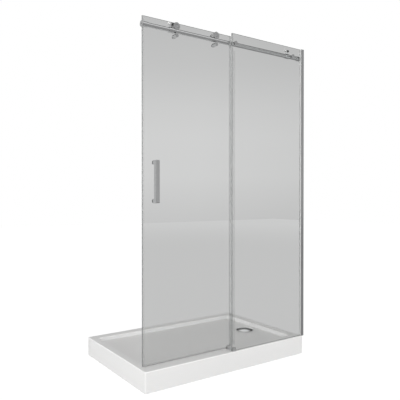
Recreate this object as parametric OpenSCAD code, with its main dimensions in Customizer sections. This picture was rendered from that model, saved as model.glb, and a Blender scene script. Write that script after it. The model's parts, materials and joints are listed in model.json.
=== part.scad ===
// Shower enclosure for a recess: a low tray, a fixed glass panel and a sliding glass door
// that hangs on rollers from a round rail.
// Millimetres. X runs along the front from the left wall to the right wall, Y from the front
// to the back, Z up from the floor. The origin is on the floor, in the middle of the enclosure.
// Inside the modules, X counts from the left wall, Y from the tray's front face and Z from
// the floor; place() moves that corner to the origin.

/* [Tray] */
// Width of the tray along the front
tray_w = 1200; // [1170:1:1204]
// Distance of the right side wall from the tray's right side
wall_clear = 12; // [6:1:30]
// Depth of the tray from front to back
tray_d = 800; // [760:1:900]
// Height of the tray's rim above the floor
tray_h = 117; // [112:1:150]
// Width of the rim at the front
rim_front = 62; // [58:1:80]
// Width of the rim at the back
rim_back = 64; // [40:1:70]
// Width of the rim at the left
rim_left = 46; // [40:1:70]
// Width of the rim at the right
rim_right = 65; // [50:1:80]
// Depth of the basin below the rim
basin_depth = 24; // [18:1:28]
// How far the basin's walls lean in towards the floor
basin_draft = 8; // [3:1:10]
// Radius of the basin's corners, seen from above
basin_corner_r = 26; // [22:1:60]
// Radius between the basin's walls and its floor
basin_fillet_r = 4; // [3:1:8]
// Radius of the tray's upright outer corners
tray_corner_r = 9; // [9:1:24]
// Radius of the rim's outer edge
tray_edge_r = 5; // [3:1:6]
// Thickness of the moulded shell
shell_t = 5; // [4:0.5:6]

/* [Tray support] */
// Thickness of the board bonded under the basin
board_t = 12; // [8:1:14]
// Distance from the basin's edge to the board's edge
board_inset = 30; // [26:1:40]
// Outside width of the square steel tube
tube_s = 20; // [16:1:22]
// Wall of the square steel tube
tube_t = 2; // [1.5:0.5:2.5]
// Distance of the outer legs from the tray's left and right sides
leg_inset_x = 120; // [110:1:150]
// Distance of the legs from the tray's front and back faces
leg_inset_y = 200; // [160:1:220]
// Radius of a leg's threaded stud
stud_r = 5; // [4:0.5:6]
// Radius of a leg's foot pad
pad_r = 22; // [16:1:26]
// Height of a leg's foot pad
pad_h = 10; // [8:1:14]
// Height of a leg's lock nut
leg_nut_h = 8; // [6:1:9]

/* [Drain] */
// Distance of the drain's centre from the tray's right side
drain_inset = 174; // [150:1:195]
// Radius of the hole in the tray
drain_hole_r = 45; // [44:0.5:46]
// Radius of the domed cover
cover_r = 60; // [55:0.5:62]
// Rise of the dome over its edge
cover_rise = 8.5; // [6:0.5:12]
// Thickness of the cover's plate
cover_t = 1.6; // [1.2:0.1:2.4]
// Gap under the cover's edge where the water runs in
cover_gap = 1.5; // [1:0.5:4]
// Thickness of the drain ring's lip on the tray's floor
ring_t = 2.5; // [2:0.5:4]
// Outside radius of the drain's bowl
bowl_r = 50; // [49:0.5:54]
// Wall of the drain's bowl
bowl_t = 3; // [2.5:0.5:3.5]
// Height of the bowl's underside above the floor
bowl_floor = 10; // [8:1:14]
// Radius of the bore for the waste pipe
waste_r = 20.2; // [18:0.1:20.5]
// Length of the bore for the waste pipe
waste_len = 36; // [30:1:44]
// Outside radius of the lift-out cup
cup_r = 38; // [34:0.5:38]
// Depth of the lift-out cup
cup_h = 40; // [30:1:44]

/* [Glass] */
// Thickness of both panes
glass_t = 8; // [8:0.5:8]
// Distance of the fixed pane's face from the tray's front
fixed_y = 10; // [10:1:12]
// Distance of the closed door's edge from the left wall
door_inset = 18; // [14:1:22]
// Width of the door's pane
door_w = 611; // [590:1:612]
// Overlap of the two panes with the door closed
overlap = 29; // [28:1:34]
// Height of the door's bottom edge above the rim
door_lift = 9; // [8:1:14]
// Height of the fixed pane's bottom edge above the rim
fixed_lift = 2; // [2:0.5:4]
// Distance of the fixed pane's top below the wall profile's top
fixed_drop = 0.2; // [0:0.1:3]

/* [Wall profile] */
// Height of the wall profile's top above the floor
profile_top = 2042.5; // [2030:0.5:2100]
// Width of the profile, away from the wall
profile_w = 25; // [22:1:26]
// Wall of the profile
profile_t = 1.8; // [1.5:0.1:2]
// Gap in front of the pane inside the profile
front_gasket_t = 5.2; // [4:0.1:5.5]
// Gap behind the pane inside the profile
back_gasket_t = 2.7; // [2:0.1:2.8]
// How far the pane stays clear of the profile's web
pane_gap = 6.2; // [4:0.1:8]
// Distance of the outer wall screw holes from the profile's ends
screw_end = 62.75; // [40:0.25:300]
// Radius of a wall screw hole
screw_hole_r = 2.6; // [2:0.1:3.2]

/* [Rail] */
// Distance of the rail's axis below the wall profile's top
rail_drop = 55.5; // [54:0.5:80]
// Radius of the rail
rail_r = 12.5; // [12:0.5:13]
// Wall of the rail's tube
rail_t = 1.5; // [1:0.5:2]
// Gap between the fixed pane and the rail
rail_standoff = 9.5; // [9:0.5:11]
// Radius of a wall bush
bush_r = 15; // [14.5:0.5:15]
// Length of a wall bush
bush_len = 38; // [30:1:44]
// Radius of a wall bush's flange
flange_r = 17; // [16:0.5:17]
// Thickness of a wall bush's flange
flange_t = 5; // [3:0.5:8]
// Radius of the wall screw's hole in a bush
bush_screw_r = 3; // [2.5:0.1:3.5]
// Distance of the first bracket from the fixed pane's edge
bracket_inset = 27; // [26:1:40]
// Distance of the second bracket from the right wall
bracket_end = 97; // [94:1:110]
// Radius of a bracket's front cap
bracket_cap_r = 12; // [10:0.5:14]

/* [Rollers] */
// Distance of the first roller from the door's left edge
roller_inset = 200; // [190:1:215]
// Distance between the two rollers
roller_span = 277; // [240:1:290]
// Radius of the roller at the bottom of its groove
tread_r = 13; // [12.5:0.5:14]
// Radius of a roller's side discs
disc_r = 21; // [20.5:0.25:21.25]
// Thickness of a roller's side disc
disc_t = 2; // [1.5:0.25:2]
// Radius of the bearing's outside
bearing_r = 11; // [10.5:0.5:11]
// Radius of the dark cap on a roller
roller_cap_r = 10; // [9:0.5:10]
// Radius of a roller's axle
axle_r = 4; // [3.5:0.25:4]
// Gap between the rail and the door
door_standoff = 7.5; // [7.5:0.5:9]
// Distance of a roller's axle below the door's top edge
roller_edge = 28; // [25:1:34]
// Radius of the nut discs inside the door
nut_r = 15; // [12:0.5:18]

/* [Lift guards] */
// Distance of a guard's axis below the rail's axis
guard_drop = 27; // [26.5:0.5:32]
// Radius of a guard's barrel
guard_r = 10.5; // [10:0.5:12]
// Radius of a guard's disc at the glass
guard_disc_r = 11.5; // [11:0.5:14]
// Radius of the post that faces the rail
guard_post_r = 5; // [4:0.5:6]
// How far a guard's barrel reaches in front of the rail's axis
guard_reach = 15.5; // [13:0.5:17]
// Radius of the nut disc behind a guard
guard_nut_r = 8; // [7.5:0.5:12]
// Gap between the post and the rail
guard_gap = 1; // [0.5:0.5:2]

/* [Stops] */
// Length of a stop's collar
collar_len = 30; // [24:1:30]
// Wall of a stop's collar
collar_t = 3; // [2.5:0.5:3]
// Height of the stop's pin above the rollers' axles
pin_rise = 10; // [8:0.5:11]
// Length of the stop's pin from end to end
pin_len = 35; // [33:1:42]
// Distance between the collar's middle and the pin's middle
pin_shift = 2; // [1:0.5:3]
// Radius of the soft buffers
buffer_r = 7; // [6:0.5:7.5]
// Distance of the second roller from the right wall when the door is open
roller_open = 162; // [162:1:217]
// Gap between a buffer and the roller at either end of the travel
stop_gap = 0.5; // [0.3:0.1:0.8]

/* [Handle] */
// Height of the handle's middle above the floor
handle_z = 1138; // [1000:1:1200]
// Distance of the handle from the door's left edge
handle_inset = 74; // [60:1:90]
// Length of the handle
handle_len = 238; // [180:1:400]
// Side of the handle's square section
handle_s = 24.5; // [18:0.5:25]
// Height of a handle's leg
handle_leg_h = 25; // [18:1:30]
// Radius on the handle's edges
handle_edge_r = 2.5; // [1:0.5:4]
// Radius of the handle's front corners, seen from the side
handle_bend_r = 7; // [3:0.5:9]
// Gap between the handle and the fixed pane as it passes
handle_clear = 3.5; // [3:0.5:5]

/* [Floor guide] */
// Length of the guide along the door
guide_len = 24; // [18:1:26]
// Height of the guide's jaws above the rim
guide_h = 22; // [18:1:24]
// Thickness of a guide's jaw
jaw_t = 5.8; // [4:0.1:6]

/* [Seals] */
// Wall of the clear seals
seal_t = 1.1; // [0.8:0.1:1.2]
// How far a seal reaches over the pane's face
seal_depth = 10; // [9:0.5:12]
// Outside radius of the soft tube on the closing edge
bulb_r = 2.5; // [2:0.5:4]

/* [Hidden] */
$fn = 64;

// Clearance between assembled pieces that don't move on each other
fit = 0.1;
// Clearance between a turning piece and its shaft
run_fit = 0.05;
// Clearance between pieces that move past each other
slide_gap = 0.3;
// Thickness of the soft washers at every hole in the glass
washer_t = 1;
// Overrun that makes a cut break through
eps = 1;

white = [0.93, 0.93, 0.92];
chrome = [0.72, 0.73, 0.74];
steel = [0.6, 0.61, 0.62];
glass_tint = [0.75, 0.82, 0.8, 0.35];
clear_pvc = [0.8, 0.83, 0.82, 0.6];
rubber = [0.12, 0.12, 0.12];
plastic_grey = [0.45, 0.46, 0.47];
board_brown = [0.65, 0.52, 0.36];

// Width between the two side walls
wall_gap = tray_w + wall_clear;

// Basin
basin_x0 = rim_left;
basin_x1 = tray_w - rim_right;
basin_y0 = rim_front;
basin_y1 = tray_d - rim_back;
floor_z = tray_h - basin_depth;
pan_z = floor_z - shell_t;

// How far the basin's wall stands in from the basin's edge at height z
function lean(z) = basin_draft * (tray_h - z) / basin_depth;

// Support under the basin
board_z = pan_z - board_t;
tube_z = board_z - tube_s;
leg_xs = [leg_inset_x, tray_w / 2, tray_w - leg_inset_x];
leg_ys = [leg_inset_y, tray_d - leg_inset_y];
runner_over = 40;

// Drain
drain_x = tray_w - drain_inset;
drain_y = (basin_y0 + basin_y1) / 2;
bowl_lip_r = drain_hole_r + 11;
ring_lip_r = drain_hole_r + 9;
ring_skirt_t = 3.5;
ring_skirt_r = drain_hole_r - 0.5;
ring_bore_r = ring_skirt_r - ring_skirt_t;
ring_skirt_h = 15;
ledge_t = 2;
ledge_z = floor_z - 9;
ledge_r = cup_r + 0.6;
gasket_t = 1;
bowl_top = pan_z - gasket_t;
bowl_lip_t = 3;
cup_lip_r = ring_bore_r - 0.5;
cup_lip_t = 2;
cup_t = 1.6;
cup_top = ledge_z + ledge_t + slide_gap + cup_lip_t;
cover_edge_z = floor_z + ring_t + cover_gap;
cover_top = cover_edge_z + cover_rise;
cover_sphere_r = (cover_r * cover_r + cover_rise * cover_rise) / (2 * cover_rise);
stem_r = 5;
outlet_z = bowl_floor + bowl_t + waste_r + 2.5;
outlet_wall = 3.6;
outlet_len = 64;
outlet_neck_r = waste_r - 2.2;
outlet_end_y = drain_y + bowl_r + outlet_len;

// Panes and the planes they stand in
fixed_back = fixed_y + glass_t;
rail_y = fixed_back + rail_standoff + rail_r;
door_y = rail_y + rail_r + door_standoff;
door_back = door_y + glass_t;
door_x0 = door_inset;
door_x1 = door_x0 + door_w;
door_z0 = tray_h + door_lift;
fixed_x0 = door_x1 - overlap;
fixed_x1 = wall_gap - profile_t - pane_gap;
fixed_z0 = tray_h + fixed_lift;
fixed_z1 = profile_top - fixed_drop;
glass_hole_r = 6;

// Wall profile
profile_x0 = wall_gap - profile_w;
profile_y0 = fixed_y - front_gasket_t - profile_t;
profile_y1 = fixed_back + back_gasket_t + profile_t;
profile_cap_t = 1;
screw_zs = [tray_h + screw_end, (tray_h + profile_top) / 2, profile_top - screw_end];

// Rail and rollers
rail_z = profile_top - rail_drop;
axle_rise = rail_r + slide_gap + tread_r;
roller_z = rail_z + axle_rise;
door_z1 = roller_z + roller_edge;
roller_xs = [door_x0 + roller_inset, door_x0 + roller_inset + roller_span];
groove_r = rail_r + slide_gap;
tyre_half = sqrt(groove_r * groove_r - (axle_rise - disc_r) * (axle_rise - disc_r)) + 0.13;
tyre_y0 = rail_y - tyre_half;
tyre_y1 = rail_y + tyre_half;
bearing_inset = 3;
bearing_half = tyre_half - bearing_inset;
cap_t = 2.2;
head_r = axle_r + 2.5;
head_t = 0.9;
step_r = axle_r + 1;
axle_collar_r = 12;
nut_t = 6;
thread_over = 4;

// Lift guards
guard_z = rail_z - guard_drop;
guard_front = rail_y - guard_reach;
guard_post_y = guard_front + 7;
guard_nut_t = 5;
guard_disc_t = 4;
post_sink = 6;

// Stops
door_travel = wall_gap - roller_open - roller_xs[1];
pin_z = roller_z + pin_rise;
pin_r = 4;
tip_reach = axle_rise - sqrt(groove_r * groove_r - buffer_r * buffer_r);
stop_tips = [
    roller_xs[0] - tip_reach - stop_gap - pin_len,
    roller_xs[1] + door_travel + tip_reach + stop_gap
];
stop_post_r = 5;
collar_r = rail_r + fit + collar_t;

// Brackets between the fixed pane and the rail
bracket_xs = [fixed_x0 + bracket_inset, wall_gap - bracket_end];
bracket_r = 9;
neck_r = 4;
neck_y = tyre_y0 - disc_t - 0.5;
bracket_bolt_r = 3;
bracket_cap_t = 4;

// Handle
handle_front = fixed_back + handle_clear;
handle_x = door_x0 + handle_inset;
handle_bolt_r = 3;
handle_zs = [
    handle_z - handle_len / 2 + handle_leg_h / 2,
    handle_z + handle_len / 2 - handle_leg_h / 2
];
knob_r = 11;
knob_t = 5;

// Seals and guide
seal_over = seal_t + fit;
guide_x0 = fixed_x0 + 2;
guide_x1 = guide_x0 + guide_len;
guide_plate_t = 1.5;
guide_pad_t = 1.2;
slot_y0 = door_y - seal_over - slide_gap;
slot_y1 = door_back + seal_over + slide_gap;
guide_front = fixed_y - 0.2 - jaw_t;
guide_back = slot_y1 + guide_pad_t + jaw_t;
guide_screw_r = 1.5;
guide_screw_ys = [rail_y - 4, rail_y + 6];

module place() {
    translate([-wall_gap / 2, -tray_d / 2, 0]) children();
}

// A round bar of radius r along Y between y0 and y1
module bar_y(x, z, y0, y1, r) {
    translate([x, y0, z]) rotate([-90, 0, 0]) cylinder(r = r, h = y1 - y0);
}

// A round bar of radius r along X between x0 and x1
module bar_x(y, z, x0, x1, r) {
    translate([x0, y, z]) rotate([0, 90, 0]) cylinder(r = r, h = x1 - x0);
}

// A washer of radius r with a hole, along Y
module washer_y(x, z, y0, y1, r, hole) {
    difference() {
        bar_y(x, z, y0, y1, r);
        bar_y(x, z, y0 - eps, y1 + eps, hole);
    }
}

// A block between two opposite corners
module block(a, b) {
    translate(a) cube(b - a);
}

// A rectangle with round corners, between two opposite corners
module round_rect(a, b, r) {
    translate([a[0] + r, a[1]]) square([b[0] - a[0] - 2 * r, b[1] - a[1]]);
    translate([a[0], a[1] + r]) square([b[0] - a[0], b[1] - a[1] - 2 * r]);
    for (x = [a[0] + r, b[0] - r], y = [a[1] + r, b[1] - r]) {
        translate([x, y]) circle(r);
    }
}

// Tray

module tray_outline(inset) {
    round_rect([inset, inset], [tray_w - inset, tray_d - inset], tray_corner_r - inset);
}

// Copies its children to the centres of four round corners
module at_corners(a, b, r) {
    for (x = [a[0] + r, b[0] - r], y = [a[1] + r, b[1] - r]) translate([x, y, 0]) children();
}

module tray_block() {
    edge = [
        for (a = [0:15:90])
            [tray_corner_r - tray_edge_r * (1 - cos(a)), tray_h - tray_edge_r * (1 - sin(a))]
    ];
    hull() at_corners([0, 0], [tray_w, tray_d], tray_corner_r)
        rotate_extrude() polygon(concat([[0, 0], [tray_corner_r, 0]], edge, [[0, tray_h]]));
}

// The basin's hollow up to the height top, or with grow the outside of the pan around it
module basin_form(grow, top) {
    fillet = basin_fillet_r + grow;
    low = floor_z - grow;
    wall = basin_corner_r + grow;
    levels = [for (a = [0:15:90]) [fillet * (1 - cos(a)), fillet * (1 - sin(a))]];
    flank = [for (l = levels) [wall - lean(low + l[0]) - l[1], low + l[0]]];
    hull() at_corners([basin_x0, basin_y0], [basin_x1, basin_y1], basin_corner_r)
        rotate_extrude() polygon(concat([[0, low]], flank, [[wall - lean(top), top], [0, top]]));
}

module tray_shell() {
    color(white) difference() {
        union() {
            difference() {
                tray_block();
                translate([0, 0, -eps]) linear_extrude(tray_h - shell_t + eps)
                    tray_outline(shell_t);
            }
            basin_form(shell_t, tray_h - 0.5);
        }
        basin_form(0, tray_h + 2);
        translate([drain_x, drain_y, 0]) cylinder(r = drain_hole_r, h = tray_h);
        for (y = guide_screw_ys) {
            translate([(guide_x0 + guide_x1) / 2, y, tray_h - 2 * shell_t])
                cylinder(r = guide_screw_r + fit, h = 3 * shell_t);
        }
    }
}

module base_board() {
    notch = bowl_lip_r + 10;
    color(board_brown) difference() {
        block(
            [basin_x0 + board_inset, basin_y0 + board_inset, board_z],
            [basin_x1 - board_inset, basin_y1 - board_inset, pan_z]
        );
        block(
            [drain_x - notch, drain_y - notch, board_z - eps],
            [basin_x1, drain_y + notch, pan_z + eps]
        );
    }
}

// A square steel tube along X, open at both ends
module frame_runner(y) {
    x0 = leg_xs[0] - runner_over;
    x1 = leg_xs[2] + runner_over;
    difference() {
        block([x0, y - tube_s / 2, tube_z], [x1, y + tube_s / 2, board_z]);
        block(
            [x0 - eps, y - tube_s / 2 + tube_t, tube_z + tube_t],
            [x1 + eps, y + tube_s / 2 - tube_t, board_z - tube_t]
        );
        for (x = leg_xs) {
            translate([x, y, tube_z - eps])
                cylinder(r = stud_r + fit, h = tube_t + 2 * eps);
        }
    }
}

module frame_runners() {
    color(steel) for (y = leg_ys) frame_runner(y);
}

// A square steel tube along Y, welded between the two runners
module frame_crossbar(x) {
    y0 = leg_ys[0] + tube_s / 2;
    y1 = leg_ys[1] - tube_s / 2;
    difference() {
        block([x - tube_s / 2, y0, tube_z], [x + tube_s / 2, y1, board_z]);
        block(
            [x - tube_s / 2 + tube_t, y0 - eps, tube_z + tube_t],
            [x + tube_s / 2 - tube_t, y1 + eps, board_z - tube_t]
        );
    }
}

module frame_crossbars() {
    crossbar_xs = [leg_xs[0], leg_xs[1], drain_x - bowl_lip_r - 50];
    color(steel) for (x = crossbar_xs) frame_crossbar(x);
}

// Copies its children to each of the legs
module at_legs() {
    for (x = leg_xs, y = leg_ys) translate([x, y, 0]) children();
}

module leg_studs() {
    color(steel) at_legs() translate([0, 0, pad_h / 2])
        cylinder(r = stud_r, h = tube_z + tube_s / 2 - pad_h / 2);
}

module leg_nuts() {
    color(steel) at_legs() translate([0, 0, tube_z - leg_nut_h]) difference() {
        cylinder(r = 1.8 * stud_r, h = leg_nut_h, $fn = 6);
        translate([0, 0, -eps]) cylinder(r = stud_r + fit, h = leg_nut_h + 2 * eps);
    }
}

module leg_pads() {
    color(rubber) at_legs() difference() {
        union() {
            cylinder(r = pad_r, h = pad_h / 2);
            translate([0, 0, pad_h / 2]) cylinder(r = pad_r * 0.6, h = pad_h / 2);
        }
        translate([0, 0, pad_h / 2]) cylinder(r = stud_r + fit, h = pad_h);
    }
}

// Drain

module at_drain(z) {
    translate([drain_x, drain_y, z]) children();
}

module drain_gasket() {
    color(rubber) at_drain(bowl_top) difference() {
        cylinder(r = bowl_lip_r, h = gasket_t);
        translate([0, 0, -eps]) cylinder(r = drain_hole_r, h = gasket_t + 2 * eps);
    }
}

// The ring on the tray's floor, whose skirt screws down into the bowl
module drain_ring() {
    color(chrome) at_drain(0) difference() {
        union() {
            translate([0, 0, floor_z]) cylinder(r = ring_lip_r, h = ring_t);
            translate([0, 0, floor_z - ring_skirt_h]) cylinder(r = ring_skirt_r, h = ring_skirt_h);
        }
        translate([0, 0, ledge_z + ledge_t]) cylinder(r = ring_bore_r, h = tray_h);
        translate([0, 0, floor_z - ring_skirt_h - eps]) cylinder(r = ledge_r, h = tray_h);
        translate([0, 0, floor_z - ring_skirt_h - eps])
            cylinder(r = ring_bore_r, h = ledge_z - floor_z + ring_skirt_h + eps);
    }
}

// The bowl under the tray with its sideways outlet
module drain_body() {
    color(plastic_grey) difference() {
        union() {
            at_drain(bowl_floor) cylinder(r = bowl_r, h = bowl_top - bowl_floor);
            at_drain(bowl_top - bowl_lip_t) cylinder(r = bowl_lip_r, h = bowl_lip_t);
            bar_y(drain_x, outlet_z, drain_y, outlet_end_y, waste_r + outlet_wall);
        }
        at_drain(bowl_floor + bowl_t) cylinder(r = bowl_r - bowl_t, h = tray_h);
        bar_y(drain_x, outlet_z, drain_y, outlet_end_y + eps, outlet_neck_r);
        bar_y(drain_x, outlet_z, outlet_end_y - waste_len, outlet_end_y + eps, waste_r);
    }
}

// The nut that clamps the waste pipe
module outlet_nut() {
    inner = waste_r + outlet_wall + fit;
    y0 = outlet_end_y - 18;
    color(plastic_grey) difference() {
        bar_y(drain_x, outlet_z, y0, outlet_end_y + 4, inner + 4);
        bar_y(drain_x, outlet_z, y0 - eps, outlet_end_y + fit, inner);
        bar_y(drain_x, outlet_z, y0, outlet_end_y + 4 + eps, waste_r + 0.4);
    }
}

// The domed cover: a thin spherical plate with a socket for the cup's stem
module drain_cover() {
    color(chrome) at_drain(0) difference() {
        union() {
            rotate_extrude($fn = 96) intersection() {
                difference() {
                    translate([0, cover_top - cover_sphere_r]) circle(cover_sphere_r, $fn = 180);
                    translate([0, cover_top - cover_sphere_r - cover_t])
                        circle(cover_sphere_r, $fn = 180);
                }
                translate([0, cover_edge_z]) square([cover_r, cover_rise + eps]);
            }
            translate([0, 0, cover_top - 8]) cylinder(r = stem_r + 3, h = 7.4);
        }
        translate([0, 0, cover_top - 8 - eps]) cylinder(r = stem_r + fit, h = 5 + eps);
    }
}

// The lift-out cup that catches the hair, with slots for the water near its rim
module hair_cup() {
    cup_z = cup_top - cup_h;
    stem_top = cover_top - 3 - fit;
    color(white) at_drain(0) {
        difference() {
            union() {
                translate([0, 0, cup_z]) cylinder(r = cup_r, h = cup_h);
                translate([0, 0, cup_top - cup_lip_t]) cylinder(r = cup_lip_r, h = cup_lip_t);
            }
            translate([0, 0, cup_z + cup_t]) cylinder(r = cup_r - cup_t, h = cup_h);
            for (a = [0:45:135]) {
                rotate([0, 0, a]) translate([0, 0, cup_top - 14])
                    cube([2 * (cup_r + eps), 6, 12], center = true);
            }
        }
        translate([0, 0, cup_z + cup_t]) cylinder(r = stem_r, h = stem_top - cup_z - cup_t);
    }
}

// Wall profile and fixed pane

// A channel fixed to the right wall and open to the left
module wall_profile() {
    color(chrome) difference() {
        block([profile_x0, profile_y0, tray_h], [wall_gap, profile_y1, profile_top]);
        block(
            [profile_x0 - eps, profile_y0 + profile_t, tray_h - eps],
            [wall_gap - profile_t, profile_y1 - profile_t, profile_top + eps]
        );
        for (z = screw_zs) {
            bar_x((fixed_y + fixed_back) / 2, z, wall_gap - 2 * profile_t, wall_gap + eps, screw_hole_r);
        }
    }
}

module profile_cap() {
    color(chrome)
        block([profile_x0, profile_y0, profile_top], [wall_gap, profile_y1, profile_top + profile_cap_t]);
}

// Soft strips that wedge the pane in the profile
module glazing_gaskets() {
    bead = 2;
    x1 = fixed_x1 - 3;
    color(clear_pvc) {
        block([profile_x0 - bead, fixed_y - front_gasket_t, tray_h], [x1, fixed_y, fixed_z1]);
        block([profile_x0 - bead, fixed_back, tray_h], [x1, fixed_back + back_gasket_t, fixed_z1]);
    }
}

module fixed_glass() {
    color(glass_tint) difference() {
        block([fixed_x0, fixed_y, fixed_z0], [fixed_x1, fixed_back, fixed_z1]);
        for (x = bracket_xs) bar_y(x, rail_z, fixed_y - eps, fixed_back + eps, glass_hole_r);
    }
}

// Clear strip clipped over the fixed pane's free edge
module fixed_panel_seal() {
    z0 = tray_h + guide_h + 4;
    color(clear_pvc) difference() {
        block(
            [fixed_x0 - seal_over, fixed_y - seal_over, z0],
            [fixed_x0 + seal_depth, fixed_back + seal_over, fixed_z1]
        );
        block(
            [fixed_x0 - fit, fixed_y - fit, z0 - eps],
            [fixed_x0 + seal_depth + eps, fixed_back + fit, fixed_z1 + eps]
        );
    }
}

module setting_strip() {
    color(clear_pvc)
        block([guide_x1 + 0.5, fixed_y, tray_h], [profile_x0 - 2.5, fixed_back, fixed_z0]);
}

// Rail, bushes and brackets

module rail() {
    end_gap = 3.5;
    color(chrome) difference() {
        bar_x(rail_y, rail_z, end_gap, wall_gap - end_gap, rail_r);
        bar_x(rail_y, rail_z, end_gap - eps, wall_gap, rail_r - rail_t);
        for (x = bracket_xs) bar_y(x, rail_z, rail_y - rail_r - eps, rail_y, bracket_bolt_r + fit);
    }
}

// A cup that holds the rail's end against the left wall
module rail_bush() {
    back = 3.3;
    difference() {
        union() {
            bar_x(0, 0, 0, bush_len, bush_r);
            bar_x(0, 0, 0, flange_t, flange_r);
        }
        bar_x(0, 0, back, bush_len + eps, rail_r + fit);
        bar_x(0, 0, -eps, back + eps, bush_screw_r);
        translate([bush_len / 2, 0, -bush_r - eps]) cylinder(r = 2.5 + fit, h = bush_r);
    }
}

module rail_bush_left() {
    color(chrome) translate([0, rail_y, rail_z]) rail_bush();
}

module rail_bush_right() {
    color(chrome) translate([wall_gap, rail_y, rail_z]) mirror([1, 0, 0]) rail_bush();
}

// Set screws under the two bushes and under the two stop collars
module grub_screws() {
    color(steel) {
        for (x = [bush_len / 2, wall_gap - bush_len / 2]) {
            translate([x, rail_y, rail_z - bush_r]) cylinder(r = 2.5, h = bush_r - rail_r);
        }
        for (x = stop_tips) {
            translate([x + pin_len / 2 + pin_shift, rail_y, rail_z - collar_r])
                cylinder(r = 2.5, h = collar_r - rail_r);
        }
    }
}

// Stepped spacers whose narrow neck lets the rollers pass
module rail_brackets() {
    color(chrome) for (x = bracket_xs) difference() {
        union() {
            bar_y(x, rail_z, fixed_back + washer_t, neck_y, bracket_r);
            bar_y(x, rail_z, fixed_back + washer_t, rail_y - rail_r / 2, neck_r);
        }
        bar_y(x, rail_z, fixed_back, rail_y, bracket_bolt_r + fit);
        bar_x(rail_y, rail_z, x - bracket_r, x + bracket_r, rail_r + fit);
    }
}

module bracket_caps() {
    y1 = fixed_y - washer_t;
    color(chrome) for (x = bracket_xs) difference() {
        bar_y(x, rail_z, y1 - bracket_cap_t, y1, bracket_cap_r);
        bar_y(x, rail_z, y1 - 3, y1 + eps, 5 + fit);
    }
}

module bracket_bolts() {
    y1 = fixed_y - washer_t;
    color(steel) for (x = bracket_xs) {
        bar_y(x, rail_z, y1 - 2.9, y1, 5);
        bar_y(x, rail_z, y1, rail_y - rail_r + 5, bracket_bolt_r);
    }
}

module bracket_washers() {
    color(clear_pvc) for (x = bracket_xs) {
        washer_y(x, rail_z, fixed_y - washer_t, fixed_y, bracket_cap_r - 1, bracket_bolt_r + fit);
        washer_y(x, rail_z, fixed_back, fixed_back + washer_t, bracket_r, bracket_bolt_r + fit);
    }
}

// Stops: a collar on the rail with a post and a pin that carries the buffers
module stop_bracket(tip) {
    mid = tip + pin_len / 2;
    collar_x = mid + pin_shift - collar_len / 2;
    difference() {
        union() {
            bar_x(rail_y, rail_z, collar_x, collar_x + collar_len, collar_r);
            translate([mid, rail_y, rail_z]) cylinder(r = stop_post_r, h = pin_z - rail_z);
            bar_x(rail_y, pin_z, tip + 4, tip + pin_len - 4, pin_r);
            bar_x(rail_y, pin_z, mid - stop_post_r, mid + stop_post_r, stop_post_r);
        }
        bar_x(rail_y, rail_z, collar_x - eps, collar_x + collar_len + eps, rail_r + fit);
        translate([mid + pin_shift, rail_y, rail_z - collar_r - eps])
            cylinder(r = 2.5 + fit, h = collar_r);
    }
}

module stop_brackets() {
    color(chrome) for (tip = stop_tips) stop_bracket(tip);
}

// A soft sleeve on the stop's pin, closed at its outer end
module pin_sleeve(x0, x1, pin_from, pin_to) {
    difference() {
        bar_x(rail_y, pin_z, x0, x1, buffer_r);
        bar_x(rail_y, pin_z, pin_from, pin_to, pin_r + fit);
    }
}

module stop_buffers() {
    color(rubber) for (tip = stop_tips) {
        mid = tip + pin_len / 2 + stop_post_r + 0.5;
        pin_sleeve(mid, tip + pin_len, mid - eps, tip + pin_len - 4 + fit);
    }
}

module stop_end_caps() {
    color(white) for (tip = stop_tips) {
        mid = tip + pin_len / 2 - stop_post_r - 0.5;
        pin_sleeve(tip, mid, tip + 4 - fit, mid + eps);
    }
}

// Floor guide

module floor_guide() {
    z0 = tray_h;
    z1 = tray_h + guide_plate_t;
    z2 = tray_h + guide_h;
    jaws = [
        guide_front,
        fixed_back + 0.2,
        slot_y0 - guide_pad_t - jaw_t,
        slot_y1 + guide_pad_t
    ];
    color(chrome) difference() {
        union() {
            block([guide_x0, guide_front, z0], [guide_x1, guide_back, z1]);
            for (y = jaws) block([guide_x0, y, z0], [guide_x1, y + jaw_t, z2]);
        }
        for (y = guide_screw_ys) {
            translate([(guide_x0 + guide_x1) / 2, y, z0 - eps])
                cylinder(r = guide_screw_r + fit, h = guide_plate_t + 2 * eps);
        }
    }
}

// Nylon faces of the guide's slot
module guide_pads() {
    z0 = tray_h + guide_plate_t;
    z1 = tray_h + guide_h - 1;
    color(white) {
        block([guide_x0 + 1, slot_y0 - guide_pad_t, z0], [guide_x1 - 1, slot_y0, z1]);
        block([guide_x0 + 1, slot_y1, z0], [guide_x1 - 1, slot_y1 + guide_pad_t, z1]);
    }
}

module guide_screws() {
    color(steel) for (y = guide_screw_ys) {
        translate([(guide_x0 + guide_x1) / 2, y, 0]) {
            translate([0, 0, tray_h - 1.6 * shell_t])
                cylinder(r = guide_screw_r, h = 1.6 * shell_t + guide_plate_t);
            translate([0, 0, tray_h + guide_plate_t]) cylinder(r = 3, h = 1.6);
        }
    }
}

// Door

module door_glass() {
    color(glass_tint) difference() {
        block([door_x0, door_y, door_z0], [door_x1, door_back, door_z1]);
        for (x = roller_xs) {
            bar_y(x, roller_z, door_y - eps, door_back + eps, glass_hole_r);
            bar_y(x, guard_z, door_y - eps, door_back + eps, glass_hole_r);
        }
        for (z = handle_zs) bar_y(handle_x, z, door_y - eps, door_back + eps, glass_hole_r);
    }
}

// A clear channel over an upright edge of the door, from the edge x inwards by side
module edge_channel(x, side, z0, z1) {
    translate([x, 0, 0]) scale([side, 1, 1]) difference() {
        block([-seal_over, door_y - seal_over, z0], [seal_depth, door_back + seal_over, z1]);
        block([-fit, door_y - fit, z0 - eps], [seal_depth + eps, door_back + fit, z1 + eps]);
    }
}

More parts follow.
